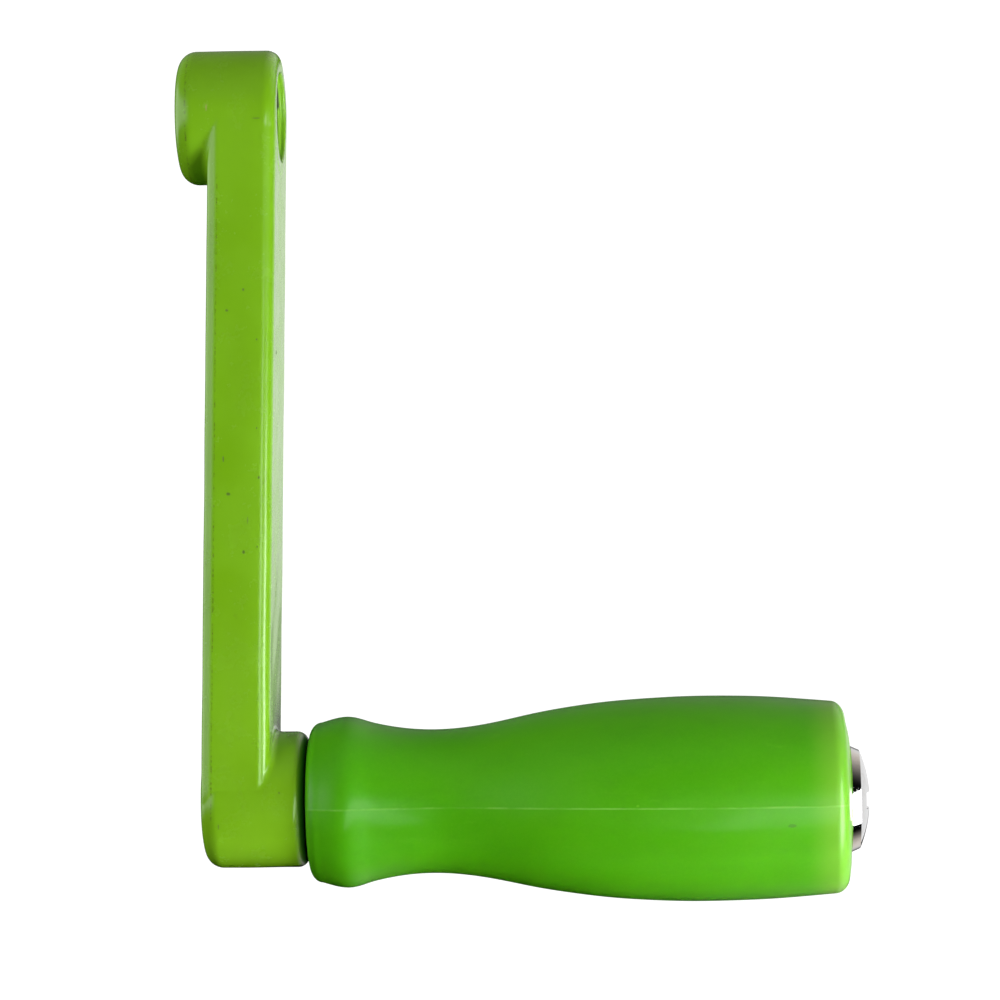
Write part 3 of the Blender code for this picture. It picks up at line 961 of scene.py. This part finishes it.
def chrome_finish():
    """Polished chrome with hairline scratches and a faint haze."""
    f = Finish("polished_chrome", Metallic=1.0, IOR=2.5)
    haze = f.step(f.noise(2.6, 5.0, 0.7), 0.42, 0.8)
    pits = f.specks(1.3, 0.22, 0.045)
    colour = f.blend(haze, (0.80, 0.80, 0.80), (0.70, 0.69, 0.67))
    colour = f.blend(f.times(pits, 0.7), colour, (0.10, 0.09, 0.08))
    f.set("Base Color", colour)
    hairlines = f.noise(0.12, 2.0, place=(1, 0.06, 1))
    crossing = f.noise(0.12, 2.0, place=(1, 1, 0.06))
    f.set("Roughness", f.maths("ADD", f.step(haze, 0.0, 1.0, 0.055, 0.13), f.times(pits, 0.3)))
    f.height(
        (f.step(hairlines, 0.62, 0.72), -0.0006),
        (f.step(crossing, 0.64, 0.74), -0.0006),
        (f.noise(2.5, 2.0), 0.006),
        (pits, -0.01),
    )
    return f.material


def zinc_finish():
    """Zinc-plated steel, softly blotched and faintly turned."""
    f = Finish("zinc_plated_steel", Metallic=1.0)
    blotches = f.noise(1.8, 5.0, 0.7)
    colour = f.blend(f.step(blotches, 0.3, 0.7), (0.60, 0.60, 0.58), (0.44, 0.43, 0.40))
    dirt = f.step(f.noise(0.8, 5.0, 0.8), 0.60, 0.78)
    colour = f.blend(f.times(dirt, 0.5), colour, (0.16, 0.13, 0.09))
    f.set("Base Color", colour)
    f.set("Roughness", f.step(blotches, 0.25, 0.75, 0.24, 0.42))
    rings = f.node("ShaderNodeTexWave", wave_type="BANDS", bands_direction="X")
    f.feed(rings.inputs["Vector"], f.place)
    rings.inputs["Scale"].default_value = 1.3
    rings.inputs["Distortion"].default_value = 1.5
    f.height((rings.outputs["Fac"], 0.002), (f.noise(0.25, 3.0), 0.003), (dirt, 0.006))
    return f.material


def nylon_finish():
    """Ivory nylon, slightly waxy, with grease at its edge."""
    f = Finish("ivory_nylon", IOR=1.53, Subsurface_Weight=0.15, Subsurface_Scale=0.001)
    cloud = f.noise(3.0, 4.0)
    colour = f.blend(f.step(cloud, 0.3, 0.7), (0.62, 0.59, 0.49), (0.54, 0.50, 0.39))
    grease = f.step(f.noise(1.1, 5.0, 0.75), 0.58, 0.76)
    colour = f.blend(f.times(grease, 0.5), colour, (0.13, 0.10, 0.05))
    f.set("Base Color", colour)
    f.set("Roughness", f.step(cloud, 0.3, 0.7, 0.38, 0.52))
    f.height((f.noise(0.4, 4.0), 0.006), (grease, 0.004))
    return f.material


# The pieces

paint = paint_finish()
plastic = plastic_finish()
chrome = chrome_finish()
zinc = zinc_finish()
nylon = nylon_finish()

make_arm(paint)
make_grip(plastic)
make_screw(chrome)
make_ring("sleeve_tube", "bearing_sleeve", WASHER_BORE, zinc)
make_ring("nylon_washer", "thrust_washer", THRUST_BORE, nylon)
make_ring("plain_washer", "flat_washer", WASHER_BORE, zinc)
make_spring_washer(zinc)


# The floor, the light and the camera

FLOOR_Z = -0.36  # metres
FLOOR_RADIUS = 1.6
# Rings from the rim inwards: share of the radius, metres below the floor's level
FLOOR_RINGS = ((1.0, 0.03), (1.0, 0.004), (0.997, 0.001), (0.99, 0.0), (0.5, 0.0), (0.01, 0.0))


def make_floor():
    """A plain pale round floor with a softly rounded rim."""
    f = Finish("pale_floor", Roughness=0.6, Emission_Strength=0.4)
    f.shader.inputs["Emission Color"].default_value = (0.9, 0.9, 0.9, 1.0)
    grain = f.noise(9.0, 5.0, 0.6)
    f.set("Base Color", f.blend(grain, (0.80, 0.80, 0.80), (0.84, 0.84, 0.835)))
    f.height((f.noise(1.2, 3.0), 0.02))
    angles = whole_turn(180)
    rings = []
    for radius, drop in FLOOR_RINGS:
        ring = np.stack([radius * np.cos(angles), radius * np.sin(angles), 0 * angles - drop], 1)
        ring[:, :2] *= FLOOR_RADIUS
        ring[:, 2] += FLOOR_Z
        rings.append(ring / MM)
    points, faces = stacked(rings)
    floor = make_object("studio_floor", points, faces, None, f.material)
    floor.visible_diffuse = False
    floor.visible_glossy = False


# The room that the pieces see: dark, with pale patches. Each patch is a product of ramps over the
# direction's parts, each (part, low, high, first, last): it goes smoothly from first to last as
# the part goes from low to high.
ROOM_PATCHES = (
    # Behind, level with the handle, its lower edge slanting
    (
        ("back", 0.3, 0.8, 0.0, 0.86),
        ("up", 0.095, 0.15, 1.0, 0.0),
        ("slant", 0.0227, 0.0355, 0.0, 1.0),
    ),
    # Above
    (("back", -0.5, 0.9, 0.0, 0.8), ("up", 0.15, 0.4, 0.0, 1.0), ("right", -0.1, 0.35, 0.25, 1.0)),
    # Below
    (
        ("back", -0.1, 0.6, 0.0, 0.75),
        ("up", -0.5, -0.25, 1.0, 0.0),
        ("right", -0.05, 0.35, 0.0, 1.0),
    ),
    # On the left
    (("left", 0.48, 0.82, 0.0, 1.5), ("up", -0.2, -0.04, 0.0, 1.0), ("up", 0.25, 0.48, 1.0, 0.0)),
)
LEFT_DIRECTION = (-0.99, -0.139, 0.0)
SLANT = 0.7  # the slant is up plus this much of right
CAMERA_WHITE = 1.1
ROOM_TINTS = ((1.0, 1.0, 1.0, 1.0), (1.0, 0.90, 0.80, 1.0))  # level, and steeply up or down
STEEP = (0.3, 0.8)


def make_surroundings():
    """White to the camera. The pieces see a dark room with four pale patches."""
    world = bpy.data.worlds.new("studio")
    bpy.context.scene.world = world
    world.use_nodes = True
    nodes, links = world.node_tree.nodes, world.node_tree.links

    def node(kind, *inputs, **settings):
        """A new node, its first inputs linked to sockets or set to plain values."""
        new = nodes.new(kind)
        for key, value in settings.items():
            setattr(new, key, value)
        for socket, value in zip(new.inputs, inputs):
            if isinstance(value, bpy.types.NodeSocket):
                links.new(value, socket)
            else:
                socket.default_value = value
        return new

    def maths(operation, *values):
        return node("ShaderNodeMath", *values, operation=operation).outputs[0]

    def ramp(value, *limits):
        kind = "ShaderNodeMapRange"
        return node(kind, value, *limits, interpolation_type="SMOOTHSTEP").outputs[0]

    place = nodes.new("ShaderNodeTexCoord").outputs["Generated"]
    right, back, up = node("ShaderNodeSeparateXYZ", place).outputs
    left = node("ShaderNodeVectorMath", place, LEFT_DIRECTION, operation="DOT_PRODUCT")
    parts = {
        "right": right,
        "back": back,
        "up": up,
        "slant": maths("MULTIPLY_ADD", right, SLANT, up),
        "left": left.outputs["Value"],
    }
    lit = None
    for ramps in ROOM_PATCHES:
        patch = None
        for part, *limits in ramps:
            level = ramp(parts[part], *limits)
            patch = level if patch is None else maths("MULTIPLY", patch, level)
        lit = patch if lit is None else maths("MAXIMUM", lit, patch)
    shown = nodes.new("ShaderNodeMix")
    shown.data_type = "FLOAT"
    links.new(nodes.new("ShaderNodeLightPath").outputs["Is Camera Ray"], shown.inputs[0])
    links.new(lit, shown.inputs[2])
    shown.inputs[3].default_value = CAMERA_WHITE
    tint = nodes.new("ShaderNodeMix")
    tint.data_type = "RGBA"
    steep = ramp(maths("ABSOLUTE", up), *STEEP, 0.0, 1.0)
    links.new(steep, tint.inputs["Factor"])
    tint.inputs[6].default_value, tint.inputs[7].default_value = ROOM_TINTS
    links.new(tint.outputs[2], nodes["Background"].inputs["Color"])
    links.new(shown.outputs[0], nodes["Background"].inputs["Strength"])


def make_light(name, place, target, size, power, turn=0.0, matt=True, gloss=True):
    """A soft oval light that the camera can't see, at a place and facing a target, both in metres.
    It lights the matt part of the look, the mirrored part, or both."""
    light = bpy.data.lights.new(name, "AREA")
    light.shape = "ELLIPSE"
    light.size, light.size_y = size
    light.energy = power
    lamp = bpy.data.objects.new(name, light)
    bpy.context.scene.collection.objects.link(lamp)
    lamp.location = place
    direction = Vector(target) - Vector(place)
    facing = direction.to_track_quat("-Z", "Y")
    lamp.rotation_euler = (facing @ Quaternion((0, 0, 1), turn)).to_euler()
    lamp.visible_diffuse = matt
    lamp.visible_glossy = gloss
    lamp.visible_camera = False


CAMERA_ANGLES = (2.19, -0.535, 0.82)  # degrees round, up, and turned about the line of sight
CAMERA_PIVOT = (0.060, 0.0, -0.060)
CAMERA_DISTANCE = 0.7042
CAMERA_AIM = (-0.006225, -0.01161)  # tangents of how far right and up of the pivot it looks
CAMERA_LENS = 144.0
SENSOR_WIDTH = 36.0


def make_camera():
    """The camera at the viewing angle, aimed so that the handle sits low and left of centre."""
    turn, lift, roll = map(math.radians, CAMERA_ANGLES)
    level = math.cos(lift)
    back = Vector((math.sin(turn) * level, -math.cos(turn) * level, math.sin(lift)))
    right = Vector((0, 0, 1)).cross(back).normalized()
    up = back.cross(right)
    level_right = right * math.cos(roll) - up * math.sin(roll)
    level_up = right * math.sin(roll) + up * math.cos(roll)
    aim = (-back + level_right * CAMERA_AIM[0] + level_up * CAMERA_AIM[1]).normalized()
    camera_data = bpy.data.cameras.new("camera")
    camera_data.lens = CAMERA_LENS
    camera_data.sensor_width = SENSOR_WIDTH
    camera_data.clip_start = 0.01
    camera = bpy.data.objects.new("camera", camera_data)
    bpy.context.scene.collection.objects.link(camera)
    camera.location = Vector(CAMERA_PIVOT) + back * CAMERA_DISTANCE
    side = aim.cross(level_up).normalized()
    top = side.cross(aim)
    axes = Matrix((side, top, -aim)).transposed()
    camera.matrix_world = Matrix.Translation(camera.location) @ axes.to_4x4()
    bpy.context.scene.camera = camera


GLINT_TURN = math.radians(-38)  # the front light's upper end leans to the right

make_floor()
make_surroundings()
make_light("key_right", (0.50, -0.24, -0.30), (0.09, 0, -0.11), (0.42, 0.62), 8.1, gloss=False)
make_light("fill_left", (-0.66, -0.44, 0.14), (0.03, 0, -0.06), (1.05, 0.85), 4.6, gloss=False)
make_light("fill_above", (0.06, -0.30, 0.52), (0.05, 0, -0.06), (0.90, 0.70), 1.1, gloss=False)
make_light("low_right", (0.24, -0.06, -0.52), (0.06, 0, -0.13), (0.45, 0.30), 0.6, gloss=False)
make_light(
    "glint_right", (0.26, -0.085, -0.165), (0.118, 0, -0.138), (0.09, 0.22), 0.45, matt=False
)
make_light(
    "glint_front",
    (0.318, -0.754, -0.30),
    (0.02, 0, -0.12),
    (0.26, 0.78),
    1.9,
    GLINT_TURN,
    matt=False,
)
make_camera()
bpy.context.scene.view_settings.view_transform = "Standard"
